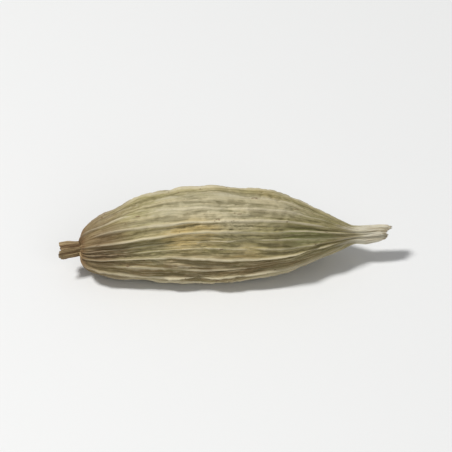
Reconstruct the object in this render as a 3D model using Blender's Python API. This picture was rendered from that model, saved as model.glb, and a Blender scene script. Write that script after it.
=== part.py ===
"""One dried green cardamom pod, lying on one of its three faces.

The pod lies along X, with the stub of its stalk at -X and its dry beak at +X, and Z is up. Its origin is
under the middle of its bounding box, on the surface that it lies on. Lengths are in metres.

The husk is one closed surface. A place on it is given by two numbers: the distance walked along the side
outline from the stalk's broken end, and a phase that grows by one from each of the three ridges to the
next. The ribs follow lines of constant phase.
"""

import math

import bpy
import numpy as np

# Driving sizes
POD_LENGTH = 0.0153
STALK_LENGTH = 0.0009
BEAK_LENGTH = 0.0011
HUSK_RADIUS = 0.00215
STALK_RADIUS = 0.00034
STALK_END_RADIUS = 0.00040
BEAK_ROOT_RADIUS = 0.00039
BEAK_TIP_RADIUS = 0.00026
HUSK_LENGTH = POD_LENGTH - STALK_LENGTH - BEAK_LENGTH

# Outline of the husk: where it is fullest, as a share of its length, how blunt its ends are, and how the
# stalk and the beak run into it
FULLEST = 0.46
STALK_END_BLUNTNESS = 0.32
BEAK_END_BLUNTNESS = 0.92
BLEND_POWER = 3.0
STALK_OVERLAP = 0.0011
BEAK_OVERLAP = 0.0017

# Cross-section: three ridges round the pod, not quite evenly spaced, and a slightly lowered height
FACES = 3
TOP_RIDGE = math.radians(99.0)
RIDGE_SHIFT = math.radians(13.0)
RIDGE_SHIFT_START = math.radians(-20.0)
RIDGE_AT_STALK = 0.075
RIDGE_AT_BEAK = 0.115
HEIGHT_SHARE = 0.96

# Centre line: both ends droop, the stalk end swings to one side and the beak end to the other, and the
# stalk and the beak turn up. The beak's turn starts this many beak lengths before its tip.
END_DROOP = 0.00042
STALK_SWING = 0.00070
BEAK_SWING = 0.00030
BEAK_CROOK = 0.00022
CROOK_REACH = 2.0
STALK_LIFT = 0.00012

# Ribs, which follow the husk from the stalk to the beak. A crest is part broad wave and part narrow one,
# and is lower where the pod is slim. Each wander has turns round the pod, waves along it, and radians.
RIBS_PER_FACE = 8
RIB_HEIGHT = 0.000100
RIDGE_RIB_GAIN = 1.5
RIB_STRENGTHS = (0.40, 1.25)
RIB_SHARPNESS = 9
NARROW_SHARE = 0.55
SLIM_GAIN = 1.6
LEAST_SLIM = 0.25
RIB_WANDERS = ((3, 0.6, 0.040), (5, 1.1, 0.028), (8, 1.7, 0.018))

# Seeds that press against the husk from inside, in two rows behind each face. Slip, turn and spread say
# how far a seed may stray along its row, across it, and from the usual size.
SEED_ROWS_PER_FACE = 2
SEEDS_PER_ROW = 5
SEED_BULGE = 0.00013
SEED_RADIUS = 0.00095
SEED_ROW_SPAN = (0.15, 0.74)
SEED_SLIP = 0.2
SEED_TURN = 0.08
SEED_SPREAD = 0.35

# Worn ends: the broken stalk is uneven, and the beak is flattened, crumpled and torn off. Each wave of a
# broken edge has turns round the pod, a size and a start, and each edge reaches a share of its end.
STALK_BREAK = 0.00013
STALK_BREAK_WAVES = ((1, 1.0, 1.0), (3, 0.5, 0.0))
STALK_BREAK_REACH = 0.67
STALK_FLATNESS = 0.10
BEAK_FLATNESS = 0.17
BEAK_CRUMPLE = 0.10
BEAK_FOLDS = 5
BEAK_TEAR = 0.00012
BEAK_TEAR_WAVES = ((1, 1.0, -0.6), (4, 0.6, 0.0))
BEAK_TEAR_REACH = 0.5
CAP_DEPTH = 0.00012

# Flat spot on the underside, pressed this far into the rounded face, where the relief is lower too
REST_DEPTH = 0.00012
UNDERSIDE_RELIEF = 0.45
UNDERSIDE_SPAN = (0.45, 0.90)

# Mesh and randomness
COLUMNS_PER_RIB = 3
RING_COUNT = 46
OUTLINE_SAMPLES = 4001
SLOPE_STEP = 1e-4
END_MARGIN = 2.0 * SLOPE_STEP
SEED = 7

HUSK_COLOUR = (0.40, 0.35, 0.155, 1.0)
HUSK_ROUGHNESS = 0.62


def clear_scene():
    for item in list(bpy.data.objects):
        bpy.data.objects.remove(item, do_unlink=True)


def smoothstep(low, high, value):
    share = np.clip((value - low) / (high - low), 0.0, 1.0)
    return share * share * (3.0 - 2.0 * share)


def husk_share(along):
    """Where a place lies on the husk, from 0 at the stalk to 1 at the beak."""
    return np.clip((along - STALK_LENGTH) / HUSK_LENGTH, 0.0, 1.0)


def mean_radius(along):
    """Radius of the husk, the stalk and the beak, run smoothly into one another."""
    share = husk_share(along)
    lean = math.log(0.5) / math.log(FULLEST)
    bluntness = STALK_END_BLUNTNESS + (BEAK_END_BLUNTNESS - STALK_END_BLUNTNESS) * share
    husk = HUSK_RADIUS * np.sin(math.pi * share**lean).clip(0.0) ** bluntness
    stalk_end = smoothstep(STALK_LENGTH, 0.0, along)
    stalk = STALK_RADIUS + (STALK_END_RADIUS - STALK_RADIUS) * stalk_end
    stalk = stalk * smoothstep(STALK_LENGTH + STALK_OVERLAP, STALK_LENGTH, along)
    beak_start = POD_LENGTH - BEAK_LENGTH
    beak_share = np.clip((along - beak_start) / BEAK_LENGTH, 0.0, 1.0)
    beak = BEAK_ROOT_RADIUS + (BEAK_TIP_RADIUS - BEAK_ROOT_RADIUS) * beak_share
    beak = beak * smoothstep(beak_start - BEAK_OVERLAP, beak_start, along)
    total = husk**BLEND_POWER + stalk**BLEND_POWER + beak**BLEND_POWER
    return total ** (1.0 / BLEND_POWER)


def outline_walk():
    """Distances along the pod, each with the share of the side outline walked by then."""
    along = np.linspace(0.0, POD_LENGTH, OUTLINE_SAMPLES)
    steps = np.hypot(np.diff(along), np.diff(mean_radius(along)))
    walked = np.concatenate(([0.0], np.cumsum(steps)))
    return along, walked / walked[-1]


def centre_line(along):
    """Sideways and vertical place of the pod's middle."""
    share = (along - STALK_LENGTH) / HUSK_LENGTH
    to_stalk = np.maximum(FULLEST - share, 0.0) / FULLEST
    to_beak = np.maximum(share - FULLEST, 0.0) / (1.0 - FULLEST)
    swing = BEAK_SWING * to_beak**2 - STALK_SWING * to_stalk**2
    droop = END_DROOP * (to_beak**2 + to_stalk**2)
    crook = BEAK_CROOK * smoothstep(POD_LENGTH - CROOK_REACH * BEAK_LENGTH, POD_LENGTH, along) ** 2
    lift = STALK_LIFT * smoothstep(STALK_LENGTH, 0.0, along)
    return swing, crook + lift - droop


def ridge_angle(phase):
    """Direction of a phase, seen from the beak end, with the first ridge nearly on top."""
    even = 2.0 * math.pi * phase / FACES
    return TOP_RIDGE + even + RIDGE_SHIFT * np.cos(even + RIDGE_SHIFT_START)


def rib_wander(phase, share, starts):
    """Sideways drift of the ribs, in radians, which lets them close up and spread apart."""
    even = 2.0 * math.pi * phase / FACES
    drift = np.zeros_like(even)
    for (turns, waves, size), start in zip(RIB_WANDERS, starts):
        drift = drift + size * np.sin(turns * even + 2.0 * math.pi * waves * share + start)
    return drift


def section(phase, angle, along):
    """Radius of the cross-section as a share of the mean radius there."""
    share = husk_share(along)
    ridge = RIDGE_AT_STALK + (RIDGE_AT_BEAK - RIDGE_AT_STALK) * share
    beak = smoothstep(POD_LENGTH - BEAK_LENGTH, POD_LENGTH, along)
    stalk = smoothstep(STALK_LENGTH, 0.0, along)
    husk = 1.0 - np.maximum(beak, stalk)
    shape = 1.0 + husk * ridge * np.cos(2.0 * math.pi * phase)
    shape = shape + (BEAK_FLATNESS * beak + STALK_FLATNESS * stalk) * np.cos(2.0 * angle)
    return shape + BEAK_CRUMPLE * beak * np.cos(BEAK_FOLDS * angle)


def broken_edge(angle, waves):
    """How far an uneven edge stands out, round the pod."""
    return sum(size * np.cos(turns * angle + start) for turns, size, start in waves)


def smooth_surface(walked, phase, draws):
    """Points of the pod before its ribs and bulges, with how far along and round it each one is."""
    along = np.interp(walked, draws["walked"], draws["along"])
    angle = ridge_angle(phase) + rib_wander(phase, husk_share(along), draws["wander"])
    radius = mean_radius(along) * section(phase, angle, along)
    swing, rise = centre_line(along)
    worn = smoothstep(STALK_BREAK_REACH * STALK_LENGTH, 0.0, along)
    torn = smoothstep(POD_LENGTH - BEAK_TEAR_REACH * BEAK_LENGTH, POD_LENGTH, along)
    x = along + STALK_BREAK * worn * broken_edge(angle, STALK_BREAK_WAVES)
    x = x + BEAK_TEAR * torn * broken_edge(angle, BEAK_TEAR_WAVES)
    y = swing + radius * np.cos(angle)
    z = rise + HEIGHT_SHARE * radius * np.sin(angle)
    return np.stack((x, y, z), axis=-1), along, angle


def rib_relief(phase, along, draws):
    """Height of the ribs: narrow crests, with the skin sunk between them."""
    place = phase * RIBS_PER_FACE
    nearest = np.rint(place).astype(int) % (FACES * RIBS_PER_FACE)
    wave = np.cos(math.pi * (place - np.rint(place))) ** 2
    crest = (1.0 - NARROW_SHARE) * wave + NARROW_SHARE * wave**RIB_SHARPNESS
    on_ridge = np.where(nearest % RIBS_PER_FACE == 0, RIDGE_RIB_GAIN, 1.0)
    slimness = np.clip(SLIM_GAIN * mean_radius(along) / HUSK_RADIUS, LEAST_SLIM, 1.0)
    return RIB_HEIGHT * crest * on_ridge * draws["ribs"][nearest] * slimness


def seed_relief(phase, along, draws):
    """Low rounded swellings where seeds lie behind the husk."""
    relief = np.zeros_like(along)
    for seed_phase, seed_along, size in draws["seeds"]:
        around = (phase - seed_phase + 0.5 * FACES) % FACES - 0.5 * FACES
        sideways = around * 2.0 * math.pi * HUSK_RADIUS / FACES
        distance = ((along - seed_along) ** 2 + sideways**2) / SEED_RADIUS**2
        relief = relief + size * SEED_BULGE * np.exp(-distance)
    return relief


def draw_seeds(random):
    """Places and sizes of the seeds, in staggered rows."""
    first, last = STALK_LENGTH + HUSK_LENGTH * np.array(SEED_ROW_SPAN)
    spacing = (last - first) / (SEEDS_PER_ROW - 0.5)
    seeds = []
    for row in range(FACES * SEED_ROWS_PER_FACE):
        row_phase = (row + 0.5) / SEED_ROWS_PER_FACE
        start = first + 0.5 * spacing * (row % 2)
        for index in range(SEEDS_PER_ROW):
            slip, turn, size = random.uniform(-1.0, 1.0, 3)
            seed_along = start + spacing * (index + SEED_SLIP * slip)
            seeds.append((row_phase + SEED_TURN * turn, seed_along, 1.0 + SEED_SPREAD * size))
    return seeds


def draw_everything():
    """The outline's walk and the seeded draws, which every place on the husk uses."""
    random = np.random.default_rng(SEED)
    along, walked = outline_walk()
    ribs = random.uniform(*RIB_STRENGTHS, FACES * RIBS_PER_FACE)
    wander = random.uniform(0.0, 2.0 * math.pi, len(RIB_WANDERS))
    seeds = draw_seeds(random)
    return {"along": along, "walked": walked, "ribs": ribs, "wander": wander, "seeds": seeds}


def outward(walked, phase, draws):
    """Unit normals of the smooth surface."""
    back = smooth_surface(walked - SLOPE_STEP, phase, draws)[0]
    ahead = smooth_surface(walked + SLOPE_STEP, phase, draws)[0]
    under = smooth_surface(walked, phase - SLOPE_STEP, draws)[0]
    over = smooth_surface(walked, phase + SLOPE_STEP, draws)[0]
    normal = np.cross(over - under, ahead - back)
    return normal / np.linalg.norm(normal, axis=-1, keepdims=True)


def husk_points(draws):
    """Rings of points from the stalk's broken end to the beak's tip."""
    columns = FACES * RIBS_PER_FACE * COLUMNS_PER_RIB
    phases = np.arange(columns) * FACES / columns
    rings = np.linspace(END_MARGIN, 1.0 - END_MARGIN, RING_COUNT)
    walked, phase = np.meshgrid(rings, phases, indexing="ij")
    points, along, angle = smooth_surface(walked, phase, draws)
    relief = rib_relief(phase, along, draws) + seed_relief(phase, along, draws)
    underside = smoothstep(*UNDERSIDE_SPAN, -np.sin(angle))
    relief = relief * (1.0 - (1.0 - UNDERSIDE_RELIEF) * underside)
    return points + outward(walked, phase, draws) * relief[..., None]


def rest_on_flat_spot(points):
    """Presses the lowest part of the pod flat and sets the origin under the middle of its box."""
    floor = points[..., 2].min() + REST_DEPTH
    points[..., 2] = np.maximum(points[..., 2], floor) - floor
    middle = 0.5 * (points.min(axis=(0, 1)) + points.max(axis=(0, 1)))
    points[..., :2] -= middle[:2]
    return points


def grid_faces(ring_count, columns):
    """Quads between the rings, and a fan of triangles over each end."""
    stalk_pole = ring_count * columns
    beak_pole = stalk_pole + 1
    last = (ring_count - 1) * columns
    faces = []
    for column in range(columns):
        after = (column + 1) % columns
        for ring in range(ring_count - 1):
            near = ring * columns
            far = near + columns
            faces.append((near + column, near + after, far + after, far + column))
        faces.append((stalk_pole, after, column))
        faces.append((beak_pole, last + column, last + after))
    return faces


def build_husk(material):
    points = rest_on_flat_spot(husk_points(draw_everything()))
    inward = np.array((CAP_DEPTH, 0.0, 0.0))
    poles = (points[0].mean(axis=0) + inward, points[-1].mean(axis=0) - inward)
    ring_count, columns = points.shape[:2]
    corners = np.vstack((points.reshape(-1, 3), poles))
    mesh = bpy.data.meshes.new("cardamom_pod")
    mesh.from_pydata(corners.tolist(), [], grid_faces(ring_count, columns))
    mesh.materials.append(material)
    mesh.shade_smooth()
    mesh.validate()
    pod = bpy.data.objects.new("cardamom_pod", mesh)
    bpy.context.scene.collection.objects.link(pod)


def husk_material():
    material = bpy.data.materials.new("dried_husk")
    material.use_nodes = True
    shader = material.node_tree.nodes["Principled BSDF"]
    shader.inputs["Base Color"].default_value = HUSK_COLOUR
    shader.inputs["Roughness"].default_value = HUSK_ROUGHNESS
    shader.inputs["Metallic"].default_value = 0.0
    return material


def main():
    clear_scene()
    build_husk(husk_material())


main()
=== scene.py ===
"""Looks of one dried green cardamom pod: a fine husk with its ribs, veins, wrinkles and seed swellings,
its stalk stub and its papery beak, set over the fixed frame. Lengths are in metres."""

import math

import bpy
import numpy as np
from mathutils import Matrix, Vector


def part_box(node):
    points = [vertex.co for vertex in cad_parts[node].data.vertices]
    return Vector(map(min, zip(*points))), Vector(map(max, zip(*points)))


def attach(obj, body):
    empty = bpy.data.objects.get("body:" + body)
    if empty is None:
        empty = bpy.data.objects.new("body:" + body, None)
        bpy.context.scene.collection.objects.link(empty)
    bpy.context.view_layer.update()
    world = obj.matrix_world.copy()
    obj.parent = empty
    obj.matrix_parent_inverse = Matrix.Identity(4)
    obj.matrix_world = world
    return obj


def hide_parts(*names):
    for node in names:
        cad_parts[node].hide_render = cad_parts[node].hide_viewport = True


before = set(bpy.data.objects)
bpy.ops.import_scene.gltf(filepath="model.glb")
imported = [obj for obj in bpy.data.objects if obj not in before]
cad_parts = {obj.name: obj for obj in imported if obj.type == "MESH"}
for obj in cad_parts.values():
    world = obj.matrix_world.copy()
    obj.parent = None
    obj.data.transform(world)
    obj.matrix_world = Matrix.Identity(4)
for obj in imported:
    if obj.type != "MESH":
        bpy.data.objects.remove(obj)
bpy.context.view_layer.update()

PIECE = "husk_fine"
NODE = "cardamom_pod"
BODY = "root"

# Driving sizes and shape of the pod, the same as the solid's
POD_LENGTH = 0.0153
STALK_LENGTH = 0.0009
BEAK_LENGTH = 0.0011
HUSK_RADIUS = 0.00215
STALK_RADIUS = 0.00034
STALK_END_RADIUS = 0.00040
BEAK_ROOT_RADIUS = 0.00039
BEAK_TIP_RADIUS = 0.00026
HUSK_LENGTH = POD_LENGTH - STALK_LENGTH - BEAK_LENGTH
FULLEST = 0.46
STALK_END_BLUNTNESS = 0.32
BEAK_END_BLUNTNESS = 0.92
BLEND_POWER = 3.0
STALK_OVERLAP = 0.0011
BEAK_OVERLAP = 0.0017
FACES = 3
TOP_RIDGE = math.radians(99.0)
RIDGE_SHIFT = math.radians(13.0)
RIDGE_SHIFT_START = math.radians(-20.0)
RIDGE_AT_STALK = 0.075
RIDGE_AT_BEAK = 0.115
HEIGHT_SHARE = 0.96
END_DROOP = 0.00042
STALK_SWING = 0.00070
BEAK_SWING = 0.00030
BEAK_CROOK = 0.00022
CROOK_REACH = 2.0
STALK_LIFT = 0.00012
RIBS_PER_FACE = 8
RIB_HEIGHT = 0.000100
RIDGE_RIB_GAIN = 1.5
RIB_STRENGTHS = (0.40, 1.25)
RIB_SHARPNESS = 9
NARROW_SHARE = 0.55
SLIM_GAIN = 1.6
LEAST_SLIM = 0.25
RIB_WANDERS = ((3, 0.6, 0.040), (5, 1.1, 0.028), (8, 1.7, 0.018))
SEED_ROWS_PER_FACE = 2
SEEDS_PER_ROW = 5
SEED_BULGE = 0.00013
SEED_RADIUS = 0.00095
SEED_ROW_SPAN = (0.15, 0.74)
SEED_SLIP = 0.2
SEED_TURN = 0.08
SEED_SPREAD = 0.35
STALK_BREAK = 0.00013
STALK_BREAK_WAVES = ((1, 1.0, 1.0), (3, 0.5, 0.0))
STALK_BREAK_REACH = 0.67
STALK_FLATNESS = 0.10
BEAK_FLATNESS = 0.17
BEAK_CRUMPLE = 0.10
BEAK_FOLDS = 5
BEAK_TEAR = 0.00012
BEAK_TEAR_WAVES = ((1, 1.0, -0.6), (4, 0.6, 0.0))
BEAK_TEAR_REACH = 0.5
UNDERSIDE_RELIEF = 0.45
UNDERSIDE_SPAN = (0.45, 0.90)
SEED = 7

# Fine relief over the ribs and swellings. Each kind that is drawn from noise has cells along the pod and
# round it, how many times the cells are halved, and a height or depth.
FINE_SEED = 23
RIB_JITTER = ((16, 30), 2, 0.017)
RIB_WAXING = ((12, 24), 2, 0.50)
CORD_HEIGHT = 0.000050
CORD_SHARPNESS = 12
VEINS_PER_RIB = 3
VEIN_STRENGTHS = (0.2, 1.0)
VEIN_HEIGHT = 0.000045
VEIN_SHARPNESS = 4
VEIN_WAXING = ((12, 72), 2, 0.9)
WRINKLES = ((4, 40), 3, 0.000058)
CROSS_CREASES = ((48, 40), 2, 0.000040)
CREASE_SWAYS = ((9, 0.00035), (14, 0.00022))
CREASED_DENTS = (-0.1, 0.5)
FOLD_SHARPNESS = 3
DENTS = ((8, 10), 2, 0.000050)
SUTURE_DEPTH = 0.000075
SUTURE_REACH = 0.000075
CRINKLES = ((60, 66), 3, 0.000020)
FIBRES = ((30, 144), 1, 0.000016)
PLEATS = ((4, 15), 2, 0.000050)
PLEATS_SPAN = (0.80, 0.93)
FRAY = ((1, 44), 2, 0.00020)
STALK_SPLINTERS = ((1, 60), 2, 0.00010)

# Shares of the husk's length over which its skin's relief comes in at the stalk and goes out at the beak
HUSK_START = (0.0, 0.06)
HUSK_END = (1.02, 0.92)

# How far a place must stand out from the skin round it to count as fully raised, and how wide that is
RAISED_UNIT = 0.000045
RAISED_REACH = (4, 5)

# Highest value of a fact that the material reads, where 1 is full height
FACT_LIMIT = 1.5

# Ends: rings inside each end, with the share of the rim's width and the depth of each. The stalk is
# broken across, and the beak is a thin torn tube.
STALK_CAP = ((0.90, -0.00002), (0.72, 0.00003), (0.50, -0.00001), (0.25, 0.00005), (0.0, 0.00002))
BEAK_CAP = ((0.90, 0.00001), (0.84, 0.00012), (0.72, 0.00040), (0.40, 0.00052), (0.0, 0.00056))
SPLINTER_SHARE = 0.35
SPLINTER_COLUMNS = 6

# Patches of colour on the husk: how far along each lies, its phase, and how far it reaches each way
PATCHES = {
    "tan_patch": ((0.40, 0.31, 0.11, 0.23), (0.30, 2.05, 0.10, 0.20), (0.66, 1.45, 0.07, 0.15)),
    # The cream spots on the top ridge are partly the husk's straw tone and partly a painted highlight where
    # the light from above falls.
    "cream_and_highlight_patch": ((0.46, 0.02, 0.20, 0.24), (0.62, -0.05, 0.14, 0.16), (0.50, 1.45, 0.22, 0.10)),
    "green_patch": ((0.75, 0.34, 0.09, 0.16), (0.40, 1.70, 0.16, 0.20), (0.66, 2.50, 0.12, 0.20)),
    # The khaki spot on the lower front band is partly the husk's khaki tone and partly painted shade,
    # darker where the light from above falls off.
    "khaki_and_shade_patch": ((0.45, 0.80, 0.40, 0.25), (0.14, 0.40, 0.08, 0.35), (0.55, 2.20, 0.10, 0.18)),
}

# Mesh of the husk
COLUMNS = 288
RINGS = 328
OUTLINE_SAMPLES = 4001
SLOPE_STEP = 1e-4
END_MARGIN = 2.0 * SLOPE_STEP
M_TO_MM = 1000.0

# Camera
ELEVATION = 38.0
CAMERA_DISTANCE = 0.20
POD_SHARE_OF_FRAME = 0.74
SENSOR = 36.0
CLIP_START = 0.001

# Floor and light: each light has a name, a place, a width and a power
FLOOR_HALF = 0.6
FLOOR_COLOUR = (0.80, 0.80, 0.79, 1.0)
FLOOR_ROUGHNESS = 0.7
ROOM_COLOUR = (0.97, 0.98, 1.0, 1.0)
ROOM_STRENGTH = 0.29
LIGHTS = (("key", (-0.15, -0.03, 0.26), 0.06, 0.80), ("fill", (0.12, -0.26, 0.18), 0.20, 0.18))


def smoothstep(low, high, value):
    share = np.clip((value - low) / (high - low), 0.0, 1.0)
    return share * share * (3.0 - 2.0 * share)


def husk_share(along):
    """Where a place lies on the husk, from 0 at the stalk to 1 at the beak."""
    return np.clip((along - STALK_LENGTH) / HUSK_LENGTH, 0.0, 1.0)


def even_angle(phase):
    """Direction of a phase if all faces were equally wide."""
    return 2.0 * math.pi * phase / FACES


def way_round(phase, middle):
    """Shortest way round the pod from the middle to each phase, in phases."""
    return (phase - middle + 0.5 * FACES) % FACES - 0.5 * FACES


def skin_width(phases):
    """Width of skin that a span of phases covers where the husk is fullest."""
    return phases * 2.0 * math.pi * HUSK_RADIUS / FACES


def mean_radius(along):
    """Radius of the husk, the stalk and the beak, run smoothly into one another."""
    share = husk_share(along)
    lean = math.log(0.5) / math.log(FULLEST)
    bluntness = STALK_END_BLUNTNESS + (BEAK_END_BLUNTNESS - STALK_END_BLUNTNESS) * share
    husk = HUSK_RADIUS * np.sin(math.pi * share**lean).clip(0.0) ** bluntness
    stalk_end = smoothstep(STALK_LENGTH, 0.0, along)
    stalk = STALK_RADIUS + (STALK_END_RADIUS - STALK_RADIUS) * stalk_end
    stalk = stalk * smoothstep(STALK_LENGTH + STALK_OVERLAP, STALK_LENGTH, along)
    beak_start = POD_LENGTH - BEAK_LENGTH
    beak_share = np.clip((along - beak_start) / BEAK_LENGTH, 0.0, 1.0)
    beak = BEAK_ROOT_RADIUS + (BEAK_TIP_RADIUS - BEAK_ROOT_RADIUS) * beak_share
    beak = beak * smoothstep(beak_start - BEAK_OVERLAP, beak_start, along)
    total = husk**BLEND_POWER + stalk**BLEND_POWER + beak**BLEND_POWER
    return total ** (1.0 / BLEND_POWER)


def outline_walk():
    """Distances along the pod, each with the share of the side outline walked by then."""
    along = np.linspace(0.0, POD_LENGTH, OUTLINE_SAMPLES)
    steps = np.hypot(np.diff(along), np.diff(mean_radius(along)))
    walked = np.concatenate(([0.0], np.cumsum(steps)))
    return along, walked / walked[-1]


def centre_line(along):
    """Sideways and vertical place of the pod's middle."""
    share = (along - STALK_LENGTH) / HUSK_LENGTH
    to_stalk = np.maximum(FULLEST - share, 0.0) / FULLEST
    to_beak = np.maximum(share - FULLEST, 0.0) / (1.0 - FULLEST)
    swing = BEAK_SWING * to_beak**2 - STALK_SWING * to_stalk**2
    droop = END_DROOP * (to_beak**2 + to_stalk**2)
    crook = BEAK_CROOK * smoothstep(POD_LENGTH - CROOK_REACH * BEAK_LENGTH, POD_LENGTH, along) ** 2
    lift = STALK_LIFT * smoothstep(STALK_LENGTH, 0.0, along)
    return swing, crook + lift - droop


def ridge_angle(phase):
    """Direction of a phase, seen from the beak end, with the first ridge nearly on top."""
    even = even_angle(phase)
    return TOP_RIDGE + even + RIDGE_SHIFT * np.cos(even + RIDGE_SHIFT_START)


def make_lattices(random, cells, halvings):
    """Seeded random heights, one table for each halving of the cells."""
    along_cells, round_cells = cells
    return [
        random.uniform(-1.0, 1.0, (along_cells * 2**turn + 2, round_cells * 2**turn))
        for turn in range(halvings)
    ]


def read_lattices(tables, along, phase):
    """Smooth noise of about -1 to 1, which closes on itself round the pod."""
    total = np.zeros_like(along)
    for turn, table in enumerate(tables):
        down = np.clip(along / POD_LENGTH, 0.0, 1.0) * (table.shape[0] - 2)
        across = (phase / FACES % 1.0) * table.shape[1]
        row = down.astype(int)
        column = across.astype(int) % table.shape[1]
        after = (column + 1) % table.shape[1]
        row_share = smoothstep(0.0, 1.0, down - row)
        column_share = smoothstep(0.0, 1.0, across - np.floor(across))
        here = table[row, column] * (1.0 - column_share) + table[row, after] * column_share
        beyond = table[row + 1, column] * (1.0 - column_share) + table[row + 1, after] * column_share
        total = total + (here * (1.0 - row_share) + beyond * row_share) / 2**turn
    return total


def rib_wander(phase, along, draws):
    """Sideways drift of the ribs, in radians, which lets them close up and spread apart."""
    even = even_angle(phase)
    drift = RIB_JITTER[2] * read_lattices(draws["jitter"], along, phase)
    for (turns, waves, size), start in zip(RIB_WANDERS, draws["wander"]):
        drift = drift + size * np.sin(turns * even + 2.0 * math.pi * waves * husk_share(along) + start)
    return drift


def section(phase, angle, along):
    """Radius of the cross-section as a share of the mean radius there."""
    share = husk_share(along)
    ridge = RIDGE_AT_STALK + (RIDGE_AT_BEAK - RIDGE_AT_STALK) * share
    beak = smoothstep(POD_LENGTH - BEAK_LENGTH, POD_LENGTH, along)
    stalk = smoothstep(STALK_LENGTH, 0.0, along)
    husk = 1.0 - np.maximum(beak, stalk)
    shape = 1.0 + husk * ridge * np.cos(2.0 * math.pi * phase)
    shape = shape + (BEAK_FLATNESS * beak + STALK_FLATNESS * stalk) * np.cos(2.0 * angle)
    return shape + BEAK_CRUMPLE * beak * np.cos(BEAK_FOLDS * angle)


def broken_edge(angle, waves):
    """How far an uneven edge stands out, round the pod."""
    return sum(size * np.cos(turns * angle + start) for turns, size, start in waves)


def end_wear(along):
    """How near the broken end of the stalk, and the torn end of the beak, each place is."""
    broken = smoothstep(STALK_BREAK_REACH * STALK_LENGTH, 0.0, along)
    torn = smoothstep(POD_LENGTH - BEAK_TEAR_REACH * BEAK_LENGTH, POD_LENGTH, along)
    return broken, torn


def smooth_surface(walked, phase, draws):
    """Points of the pod before its relief, with how far along and round it each one is."""
    along = np.interp(walked, draws["walked"], draws["along"])
    angle = ridge_angle(phase) + rib_wander(phase, along, draws)
    radius = mean_radius(along) * section(phase, angle, along)
    swing, rise = centre_line(along)
    broken, torn = end_wear(along)
    x = along + STALK_BREAK * broken * broken_edge(angle, STALK_BREAK_WAVES)
    x = x + BEAK_TEAR * torn * broken_edge(angle, BEAK_TEAR_WAVES)
    y = swing + radius * np.cos(angle)
    z = rise + HEIGHT_SHARE * radius * np.sin(angle)
    return np.stack((x, y, z), axis=-1), along, angle


def draw_seeds(random):
    """Places and sizes of the seeds, in staggered rows."""
    first, last = STALK_LENGTH + HUSK_LENGTH * np.array(SEED_ROW_SPAN)
    spacing = (last - first) / (SEEDS_PER_ROW - 0.5)
    seeds = []
    for row in range(FACES * SEED_ROWS_PER_FACE):
        row_phase = (row + 0.5) / SEED_ROWS_PER_FACE
        start = first + 0.5 * spacing * (row % 2)
        for index in range(SEEDS_PER_ROW):
            slip, turn, size = random.uniform(-1.0, 1.0, 3)
            seed_along = start + spacing * (index + SEED_SLIP * slip)
            seeds.append((row_phase + SEED_TURN * turn, seed_along, 1.0 + SEED_SPREAD * size))
    return seeds


def draw_everything():
    """The outline's walk, the solid's seeded draws in the same order, and those of the fine relief."""
    random = np.random.default_rng(SEED)
    along, walked = outline_walk()
    draws = {"along": along, "walked": walked}
    draws["ribs"] = random.uniform(*RIB_STRENGTHS, FACES * RIBS_PER_FACE)
    draws["wander"] = random.uniform(0.0, 2.0 * math.pi, len(RIB_WANDERS))
    draws["seeds"] = draw_seeds(random)
    fine = np.random.default_rng(FINE_SEED)
    draws["veins"] = fine.uniform(*VEIN_STRENGTHS, FACES * RIBS_PER_FACE * VEINS_PER_RIB)
    kinds = {
        "jitter": RIB_JITTER, "rib_waxing": RIB_WAXING, "vein_waxing": VEIN_WAXING,
        "wrinkles": WRINKLES, "creases": CROSS_CREASES, "dents": DENTS, "crinkles": CRINKLES,
        "fibres": FIBRES, "pleats": PLEATS, "fray": FRAY, "splinters": STALK_SPLINTERS,
    }
    for name, (cells, halvings, _) in kinds.items():
        draws[name] = make_lattices(fine, cells, halvings)
    return draws


def nearest_line(phase, lines_per_face):
    """Number of the nearest of the lines along the pod, and a wave of 1 on it and 0 halfway to the next."""
    place = phase * lines_per_face
    number = np.rint(place).astype(int) % (FACES * lines_per_face)
    return number, np.cos(math.pi * (place - np.rint(place)))


def rib_relief(phase, draws):
    """Height of the main ribs: narrow crests, with the skin sunk between them."""
    nearest, wave = nearest_line(phase, RIBS_PER_FACE)
    wave = wave**2
    crest = (1.0 - NARROW_SHARE) * wave + NARROW_SHARE * wave**RIB_SHARPNESS
    on_ridge = np.where(nearest % RIBS_PER_FACE == 0, RIDGE_RIB_GAIN, 1.0)
    return RIB_HEIGHT * crest * on_ridge * draws["ribs"][nearest]


def cord_relief(phase, along, draws):
    """Height of the thin cord along the crest of each rib, which is stronger in some places."""
    nearest, wave = nearest_line(phase, RIBS_PER_FACE)
    wave = wave**2
    waxing = 1.0 + RIB_WAXING[2] * read_lattices(draws["rib_waxing"], along, phase)
    return CORD_HEIGHT * wave**CORD_SHARPNESS * draws["ribs"][nearest] * waxing.clip(0.0)


def vein_relief(phase, along, draws):
    """Height of the faint veins between the main ribs, which come and go along the pod."""
    nearest, wave = nearest_line(phase, RIBS_PER_FACE * VEINS_PER_RIB)
    waxing = 0.5 + 0.5 * VEIN_WAXING[2] * read_lattices(draws["vein_waxing"], along, phase)
    height = VEIN_HEIGHT * wave**VEIN_SHARPNESS * draws["veins"][nearest] * waxing.clip(0.0)
    return np.where(nearest % VEINS_PER_RIB == 0, 0.0, height)


def seed_relief(phase, along, draws):
    """Low rounded swellings where seeds lie behind the husk."""
    relief = np.zeros_like(along)
    for seed_phase, seed_along, size in draws["seeds"]:
        sideways = skin_width(way_round(phase, seed_phase))
        distance = ((along - seed_along) ** 2 + sideways**2) / SEED_RADIUS**2
        relief = relief + size * SEED_BULGE * np.exp(-distance)
    return relief


def suture_relief(phase):
    """A thin groove along each ridge, where a ripe pod splits."""
    sideways = skin_width(phase - np.rint(phase))
    return -SUTURE_DEPTH * np.exp(-((sideways / SUTURE_REACH) ** 2))


def swayed(along, phase):
    """Places moved along the pod by an amount that changes round it, so that creases run aslant."""
    even = even_angle(phase)
    return along + sum(size * np.sin(turns * even + turns) for turns, size in CREASE_SWAYS)


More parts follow.
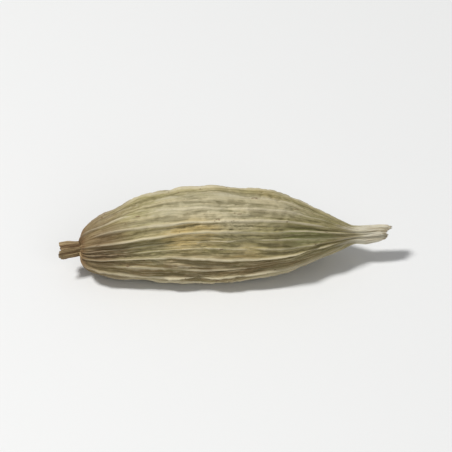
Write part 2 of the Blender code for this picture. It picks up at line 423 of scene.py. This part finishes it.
def fold(noise):
    """Noise turned into narrow valleys of depth 1 along its zero lines."""
    return -((1.0 - np.abs(noise)).clip(0.0) ** FOLD_SHARPNESS)


def relief_parts(phase, along, draws):
    """Each kind of relief on its own, faded where the pod is slim."""
    share = (along - STALK_LENGTH) / HUSK_LENGTH
    girth = mean_radius(along) / HUSK_RADIUS
    slimness = np.clip(SLIM_GAIN * girth, LEAST_SLIM, 1.0)
    on_husk = smoothstep(*HUSK_START, share) * smoothstep(*HUSK_END, share)
    noise = {
        name: read_lattices(draws[name], along, phase)
        for name in ("rib_waxing", "wrinkles", "dents", "crinkles", "fibres", "pleats")
    }
    noise["creases"] = read_lattices(draws["creases"], swayed(along, phase), phase)
    ribs = rib_relief(phase, draws) * slimness
    creased = smoothstep(*CREASED_DENTS, noise["dents"]) * on_husk * girth
    return {
        "ribs": ribs,
        "seeds": seed_relief(phase, along, draws),
        "waxing": ribs * RIB_WAXING[2] * noise["rib_waxing"],
        "cords": cord_relief(phase, along, draws) * slimness,
        "veins": vein_relief(phase, along, draws) * slimness,
        "wrinkles": WRINKLES[2] * fold(noise["wrinkles"]) * on_husk,
        "creases": CROSS_CREASES[2] * fold(noise["creases"]) * creased,
        "sutures": suture_relief(phase) * slimness * on_husk,
        "dents": DENTS[2] * noise["dents"] * on_husk * girth,
        "crinkles": CRINKLES[2] * noise["crinkles"] * slimness,
        "fibres": FIBRES[2] * noise["fibres"],
        "pleats": PLEATS[2] * noise["pleats"] * smoothstep(*PLEATS_SPAN, share),
    }


def outward(walked, phase, draws):
    """Unit normals of the smooth surface."""
    back = smooth_surface(walked - SLOPE_STEP, phase, draws)[0]
    ahead = smooth_surface(walked + SLOPE_STEP, phase, draws)[0]
    under = smooth_surface(walked, phase - SLOPE_STEP, draws)[0]
    over = smooth_surface(walked, phase + SLOPE_STEP, draws)[0]
    normal = np.cross(over - under, ahead - back)
    return normal / np.linalg.norm(normal, axis=-1, keepdims=True)


def frayed(points, phase, along, draws):
    """The torn beak and the broken stalk drawn back into shreds and splinters."""
    broken, torn = end_wear(along)
    shreds = np.abs(read_lattices(draws["fray"], along, phase))
    splinters = np.abs(read_lattices(draws["splinters"], along, phase))
    points[..., 0] += STALK_SPLINTERS[2] * broken**2 * splinters - FRAY[2] * torn**2 * shreds
    return points


# The material paints highlight on raised places and shade in hollows from this map.
def raised_map(relief):
    """How far each place stands out from the skin round it, -1 in a hollow and 1 on a crest."""
    rings_reach, columns_reach = RAISED_REACH
    padded = np.pad(relief, ((rings_reach, rings_reach), (0, 0)), mode="edge")
    wide = np.mean([padded[i:i + len(relief)] for i in range(2 * rings_reach + 1)], axis=0)
    wide = np.mean([np.roll(wide, i, axis=1) for i in range(-columns_reach, columns_reach + 1)], axis=0)
    return np.clip((relief - wide) / RAISED_UNIT, -1.0, 1.0)


def patch_mask(along_share, phase, spots):
    """Soft-edged patches on the husk, 1 in their middles."""
    mask = np.zeros_like(phase)
    for middle_along, middle_phase, reach_along, reach_phase in spots:
        around = way_round(phase, middle_phase)
        distance = ((along_share - middle_along) / reach_along) ** 2 + (around / reach_phase) ** 2
        mask = np.maximum(mask, np.exp(-distance))
    return mask


def husk_grid(draws):
    """Rings of the husk, fine and plain, and what its material needs to know of each point."""
    phases = np.arange(COLUMNS) * FACES / COLUMNS
    rings = np.linspace(END_MARGIN, 1.0 - END_MARGIN, RINGS)
    walked, phase = np.meshgrid(rings, phases, indexing="ij")
    points, along, angle = smooth_surface(walked, phase, draws)
    parts = relief_parts(phase, along, draws)
    kept = 1.0 - (1.0 - UNDERSIDE_RELIEF) * smoothstep(*UNDERSIDE_SPAN, -np.sin(angle))
    normals = outward(walked, phase, draws)
    relief = sum(parts.values()) * kept
    plain = points + normals * ((parts["ribs"] + parts["seeds"]) * kept)[..., None]
    fine = frayed(points + normals * relief[..., None], phase, along, draws)
    share = along / POD_LENGTH
    even = even_angle(phase)
    coordinates = (along, HUSK_RADIUS * np.cos(even), HUSK_RADIUS * np.sin(even))
    facts = {
        "along": share,
        "crest": np.clip((parts["ribs"] + parts["waxing"]) / RIB_HEIGHT, 0.0, FACT_LIMIT),
        "cord": np.clip(parts["cords"] / CORD_HEIGHT, 0.0, FACT_LIMIT),
        "vein": np.clip(parts["veins"] / VEIN_HEIGHT, 0.0, 1.0),
        "wrinkle": np.clip(-parts["wrinkles"] / WRINKLES[2], 0.0, 1.0),
        "raised": raised_map(relief),
        "husk_coord": M_TO_MM * np.stack(coordinates, axis=-1),
    }
    for name, spots in PATCHES.items():
        facts[name] = patch_mask(share, phase, spots)
    return fine, plain, facts


def end_cap(rim, rings, inward, random):
    """Rings and a pole that close an end. inward is 1 where the way in is +X, and -1 where it is -X."""
    middle = rim.mean(axis=0)
    cap = []
    for width, depth in rings[:-1]:
        ring = middle + (rim - middle) * width
        ragged = random.uniform(-1.0, 1.0, COLUMNS // SPLINTER_COLUMNS).repeat(SPLINTER_COLUMNS)
        ring[:, 0] += inward * (depth + SPLINTER_SHARE * abs(depth) * ragged)
        cap.append(ring)
    pole = middle + np.array((inward * rings[-1][1], 0.0, 0.0))
    return np.array(cap), pole


def grid_faces(ring_count):
    """Quads between the rings, and a fan of triangles over each end."""
    column = np.arange(COLUMNS)
    after = (column + 1) % COLUMNS
    near = (np.arange(ring_count - 1) * COLUMNS)[:, None]
    corners = (near + column, near + after, near + COLUMNS + after, near + COLUMNS + column)
    faces = np.stack(corners, axis=-1).reshape(-1, 4).tolist()
    stalk_pole = ring_count * COLUMNS
    last = (ring_count - 1) * COLUMNS
    for here, following in zip(column.tolist(), after.tolist()):
        faces.append((stalk_pole, following, here))
        faces.append((stalk_pole + 1, last + here, last + following))
    return faces


def fit_to_frame(points, plain):
    """Sets the husk where the solid is, by the box of its plain form, with the same flat spot."""
    low, high = (np.array(corner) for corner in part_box(NODE))
    own_low, own_high = plain.min(axis=(0, 1)), plain.max(axis=(0, 1))
    shift = 0.5 * (low + high) - 0.5 * (own_low + own_high)
    shift[2] = high[2] - own_high[2]
    points = points + shift
    points[:, 2] = np.maximum(points[:, 2], low[2])
    return points


def over_caps(values):
    """Values of the rings, carried on over the caps and their poles."""
    before = np.repeat(values[:1], len(STALK_CAP) - 1, axis=0)
    behind = np.repeat(values[-1:], len(BEAK_CAP) - 1, axis=0)
    flat = np.concatenate((before, values, behind)).reshape((-1,) + values.shape[2:])
    return np.concatenate((flat, values[0, :1], values[-1, :1]))


def add_facts(mesh, facts):
    for name, values in facts.items():
        values = over_caps(values)
        is_vector = values.ndim == 2
        layer = mesh.attributes.new(name, "FLOAT_VECTOR" if is_vector else "FLOAT", "POINT")
        layer.data.foreach_set("vector" if is_vector else "value", values.astype(np.float32).ravel())


def build_husk(material):
    fine, plain, facts = husk_grid(draw_everything())
    random = np.random.default_rng(FINE_SEED + 1)
    stalk_rings, stalk_pole = end_cap(fine[0], STALK_CAP, 1.0, random)
    beak_rings, beak_pole = end_cap(fine[-1], BEAK_CAP, -1.0, random)
    rings = np.concatenate((stalk_rings[::-1], fine, beak_rings))
    corners = fit_to_frame(np.vstack((rings.reshape(-1, 3), stalk_pole, beak_pole)), plain)
    mesh = bpy.data.meshes.new(PIECE)
    mesh.from_pydata(corners.tolist(), [], grid_faces(len(rings)))
    add_facts(mesh, facts)
    mesh.materials.append(material)
    mesh.shade_smooth()
    husk = bpy.data.objects.new(PIECE, mesh)
    bpy.context.scene.collection.objects.link(husk)
    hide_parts(NODE)
    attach(husk, BODY)


def linear(red, green, blue):
    """An sRGB colour of 0 to 255 as the linear values that a shader takes."""
    values = [channel / 255.0 for channel in (red, green, blue)]
    bent = [v / 12.92 if v <= 0.04045 else ((v + 0.055) / 1.055) ** 2.4 for v in values]
    return (*bent, 1.0)


DULL_SKIN = linear(130, 122, 80)
GREEN_SKIN = linear(163, 153, 104)
DEEP_GREEN = linear(116, 110, 68)
LEAF_GREEN = linear(134, 137, 80)
STRAW = linear(200, 186, 148)
# Cream: the husk's pale tone, also laid on as a painted highlight on the top ridge and on raised places.
CREAM_AND_HIGHLIGHT = linear(188, 180, 156)
TAN = linear(188, 164, 106)
# Khaki: the husk's khaki tone, also laid on as painted shade on the lower front band.
KHAKI_AND_SHADE = linear(114, 91, 57)
BROWN = linear(108, 82, 54)
# Dark colour of the fine dark fibres and grain, and of the painted shade in hollows and wrinkles.
DARK_FIBRE_AND_SHADE = linear(92, 84, 48)
PALE_RIB = linear(212, 200, 164)
PALE_TIP = linear(226, 219, 198)
STALK_STRAW = linear(190, 168, 126)
STALK_BROWN = linear(122, 94, 62)

# Noises of the skin, in mm: scale, stretch along the pod, detail and roughness
NOISES = {
    "clouds": (0.55, 0.45, 2.0, 0.55),
    "mottle": (2.2, 0.28, 4.0, 0.60),
    "fibres": (6.0, 0.06, 4.0, 0.65),
    "threads": (16.0, 0.05, 3.0, 0.60),
    "hairs": (8.0, 0.035, 2.0, 0.50),
    "rumples": (6.5, 0.30, 5.0, 0.60),
    "strands": (2.6, 0.12, 3.0, 0.65),
    "specks": (5.0, 0.55, 2.0, 0.55),
    "grain": (22.0, 0.35, 4.0, 0.65),
}

# Hairs lie where their noise is near a middle value: that value, and how far from it they reach
PALE_HAIRS = (0.54, 0.035)
DARK_HAIRS = (0.44, 0.030)

# Ranges of a noise, and what each is turned into: how strong the patches and the crests are from place
# to place, and how rough the skin is
PATCH_STRENGTH = (0.25, 0.60, 0.45, 1.25)
CREST_STRENGTH = (0.30, 0.60, 0.35, 1.15)
ROUGHNESS = (0.30, 0.75, 0.66, 0.48)
SPECULAR = 0.35

# How far the borders of the end tints are shifted by a noise of this span, as a share of the length, and
# where the beak and the stalk begin
RAGGED_REACH = 0.04
SHIFTING_SPAN = (0.3, 0.7)
BEAK_BEGINS = (0.88, 0.94)
STALK_BEGINS = (0.085, 0.055)

# Relief finer than the mesh: its noise and its height
BUMPS = (("rumples", 0.000060), ("threads", 0.000035), ("grain", 0.000018))
BUMP_STRENGTH = 0.8

# Sockets of the colour mix node
MIX_UNDER, MIX_OVER, MIX_RESULT = 6, 7, 2

# Tints laid over the dull green skin in turn: which fact or noise drives each, the values between which
# it comes in, how strong it gets, and its colour
SKIN_LAYERS = (
    ("mottle", 0.24, 0.66, 1.00, GREEN_SKIN),
    ("clouds", 0.48, 0.70, 0.45, TAN),
    # Khaki patch: khaki tone, plus painted shade on the lower front band.
    ("khaki_and_shade_patch", 0.15, 0.90, 0.85, KHAKI_AND_SHADE),
    ("green_patch", 0.15, 0.90, 0.75, LEAF_GREEN),
    # Cream patch: straw tone, plus a painted highlight on the top ridge.
    ("cream_and_highlight_patch", 0.15, 0.90, 0.55, CREAM_AND_HIGHLIGHT),
    ("tan_patch", 0.15, 0.90, 0.95, TAN),
    ("fibres", 0.46, 0.72, 0.55, STRAW),
    ("fibres", 0.44, 0.26, 0.45, DEEP_GREEN),
    ("threads", 0.55, 0.66, 0.50, STRAW),
    ("threads", 0.43, 0.33, 0.45, DEEP_GREEN),
    ("pale_hairs", 0.00, 1.00, 0.45, STRAW),
    ("dark_hairs", 0.00, 1.00, 0.40, DARK_FIBRE_AND_SHADE),
    ("vein", 0.20, 0.80, 0.35, STRAW),
    ("crest", 0.30, 1.10, 0.42, STRAW),
    ("cord", 0.12, 0.75, 0.65, PALE_RIB),
    # Paler on raised places: partly the husk's paler crests, partly a painted highlight.
    ("raised", 0.10, 1.00, 0.35, CREAM_AND_HIGHLIGHT),
    # Painted shade in the hollows between raised places.
    ("raised", -0.10, -1.00, 0.48, DARK_FIBRE_AND_SHADE),
    # Painted shade in the wrinkle valleys.
    ("wrinkle", 0.45, 1.00, 0.22, DARK_FIBRE_AND_SHADE),
    ("grain", 0.42, 0.28, 0.25, DARK_FIBRE_AND_SHADE),
    ("specks", 0.68, 0.74, 0.70, BROWN),
    # Browner towards the stalk end: partly the stalk end's own browning, partly a painted shadow.
    ("ragged_along", 0.28, 0.05, 0.68, BROWN),
    ("ragged_along", 0.840, 0.940, 0.90, PALE_TIP),
    ("beak_strands", 0.46, 0.70, 0.60, STALK_STRAW),
    ("along", 0.980, 1.000, 0.35, STALK_STRAW),
    ("along", 0.085, 0.060, 0.90, STALK_BROWN),
    ("stalk_strands", 0.36, 0.62, 0.85, STALK_STRAW),
)


class Nodes:
    """Short ways to add nodes to one material."""

    def __init__(self, material):
        self.tree = material.node_tree
        self.shader = self.tree.nodes["Principled BSDF"]

    def add(self, kind, **settings):
        node = self.tree.nodes.new(kind)
        for name, value in settings.items():
            setattr(node, name, value)
        return node

    def link(self, source, target):
        self.tree.links.new(source, target)

    def fact(self, name, vector=False):
        node = self.add("ShaderNodeAttribute", attribute_name=name)
        return node.outputs["Vector" if vector else "Fac"]

    def noise(self, place, scale, stretch, detail, rough):
        mapping = self.add("ShaderNodeMapping")
        mapping.inputs["Scale"].default_value = (stretch, 1.0, 1.0)
        self.link(place, mapping.inputs["Vector"])
        node = self.add("ShaderNodeTexNoise")
        node.inputs["Scale"].default_value = scale
        node.inputs["Detail"].default_value = detail
        node.inputs["Roughness"].default_value = rough
        self.link(mapping.outputs["Vector"], node.inputs["Vector"])
        return node.outputs["Fac"]

    def ramp(self, value, low, high, to_low=0.0, to_high=1.0):
        """value from low..high turned into to_low..to_high, smooth at both ends."""
        node = self.add("ShaderNodeMapRange", interpolation_type="SMOOTHSTEP")
        node.inputs["From Min"].default_value = low
        node.inputs["From Max"].default_value = high
        node.inputs["To Min"].default_value = to_low
        node.inputs["To Max"].default_value = to_high
        self.link(value, node.inputs["Value"])
        return node.outputs["Result"]

    def line(self, value, middle, reach):
        """1 where value is middle, and 0 where it is further off than reach."""
        below = self.ramp(value, middle - reach, middle)
        return self.times(below, self.ramp(value, middle + reach, middle))

    def times(self, first, second):
        node = self.add("ShaderNodeMath", operation="MULTIPLY")
        self.link(first, node.inputs[0])
        self.link(second, node.inputs[1])
        return node.outputs["Value"]

    def shifted(self, value, noise, reach):
        """The value moved up or down by the noise, by reach at most."""
        node = self.add("ShaderNodeMath", operation="MULTIPLY_ADD")
        self.link(self.ramp(noise, *SHIFTING_SPAN, -1.0, 1.0), node.inputs[0])
        node.inputs[1].default_value = reach
        self.link(value, node.inputs[2])
        return node.outputs["Value"]

    def tint(self, share, under, over):
        """The colour under, with the plain colour over laid on it."""
        node = self.add("ShaderNodeMix", data_type="RGBA")
        self.link(share, node.inputs["Factor"])
        if isinstance(under, tuple):
            node.inputs[MIX_UNDER].default_value = under
        else:
            self.link(under, node.inputs[MIX_UNDER])
        node.inputs[MIX_OVER].default_value = over
        return node.outputs[MIX_RESULT]


def skin_drivers(nodes):
    """Every fact and noise that drives a tint, by name."""
    place = nodes.fact("husk_coord", vector=True)
    drivers = {name: nodes.noise(place, *values) for name, values in NOISES.items()}
    for name in ("along", "crest", "cord", "vein", "wrinkle", "raised"):
        drivers[name] = nodes.fact(name)
    drivers["pale_hairs"] = nodes.line(drivers["hairs"], *PALE_HAIRS)
    drivers["dark_hairs"] = nodes.line(drivers["hairs"], *DARK_HAIRS)
    wavering = nodes.ramp(drivers["mottle"], *PATCH_STRENGTH)
    for name in PATCHES:
        drivers[name] = nodes.times(nodes.fact(name), wavering)
    broken = nodes.ramp(drivers["fibres"], *CREST_STRENGTH)
    for name in ("crest", "cord"):
        drivers[name] = nodes.times(drivers[name], broken)
    drivers["ragged_along"] = nodes.shifted(drivers["along"], drivers["strands"], RAGGED_REACH)
    on_beak = nodes.ramp(drivers["along"], *BEAK_BEGINS)
    on_stalk = nodes.ramp(drivers["along"], *STALK_BEGINS)
    drivers["beak_strands"] = nodes.times(drivers["strands"], on_beak)
    drivers["stalk_strands"] = nodes.times(drivers["strands"], on_stalk)
    return drivers


def husk_material():
    material = bpy.data.materials.new("dried_husk_fine")
    material.use_nodes = True
    nodes = Nodes(material)
    drivers = skin_drivers(nodes)
    colour = DULL_SKIN
    for driver, low, high, strength, tint in SKIN_LAYERS:
        colour = nodes.tint(nodes.ramp(drivers[driver], low, high, 0.0, strength), colour, tint)
    nodes.link(colour, nodes.shader.inputs["Base Color"])
    nodes.link(nodes.ramp(drivers["fibres"], *ROUGHNESS), nodes.shader.inputs["Roughness"])
    nodes.shader.inputs["Specular IOR Level"].default_value = SPECULAR
    normal = None
    for driver, distance in BUMPS:
        bump = nodes.add("ShaderNodeBump")
        bump.inputs["Strength"].default_value = BUMP_STRENGTH
        bump.inputs["Distance"].default_value = distance
        nodes.link(drivers[driver], bump.inputs["Height"])
        if normal is not None:
            nodes.link(normal, bump.inputs["Normal"])
        normal = bump.outputs["Normal"]
    nodes.link(normal, nodes.shader.inputs["Normal"])
    return material


def floor():
    signs = ((-1, -1), (1, -1), (1, 1), (-1, 1))
    corners = [(x * FLOOR_HALF, y * FLOOR_HALF, 0.0) for x, y in signs]
    mesh = bpy.data.meshes.new("floor")
    mesh.from_pydata(corners, [], [(0, 1, 2, 3)])
    material = bpy.data.materials.new("pale_floor")
    material.use_nodes = True
    shader = material.node_tree.nodes["Principled BSDF"]
    shader.inputs["Base Color"].default_value = FLOOR_COLOUR
    shader.inputs["Roughness"].default_value = FLOOR_ROUGHNESS
    mesh.materials.append(material)
    plane = bpy.data.objects.new("floor", mesh)
    bpy.context.scene.collection.objects.link(plane)


def area_light(name, place, size, power, target):
    lamp = bpy.data.lights.new(name, "AREA")
    lamp.shape = "DISK"
    lamp.size = size
    lamp.energy = power
    light = bpy.data.objects.new(name, lamp)
    light.location = place
    light.rotation_euler = (target - Vector(place)).to_track_quat("-Z", "Y").to_euler()
    bpy.context.scene.collection.objects.link(light)


def studio(target):
    world = bpy.data.worlds.new("pale_room")
    world.use_nodes = True
    background = world.node_tree.nodes["Background"]
    background.inputs["Color"].default_value = ROOM_COLOUR
    background.inputs["Strength"].default_value = ROOM_STRENGTH
    bpy.context.scene.world = world
    for name, place, size, power in LIGHTS:
        area_light(name, place, size, power, target)


def camera(target, length):
    angle = math.radians(ELEVATION)
    lens = bpy.data.cameras.new("camera")
    lens.sensor_width = SENSOR
    frame_width = length / POD_SHARE_OF_FRAME
    lens.lens = SENSOR * CAMERA_DISTANCE / frame_width
    lens.clip_start = CLIP_START
    eye = bpy.data.objects.new("camera", lens)
    eye.location = target + CAMERA_DISTANCE * Vector((0.0, -math.cos(angle), math.sin(angle)))
    eye.rotation_euler = (target - eye.location).to_track_quat("-Z", "Y").to_euler()
    bpy.context.scene.collection.objects.link(eye)
    bpy.context.scene.camera = eye


def main():
    low, high = (Vector(corner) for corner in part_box(NODE))
    build_husk(husk_material())
    floor()
    studio(0.5 * (low + high))
    camera(0.5 * (low + high), high.x - low.x)
    bpy.context.scene.view_settings.view_transform = "Standard"


main()
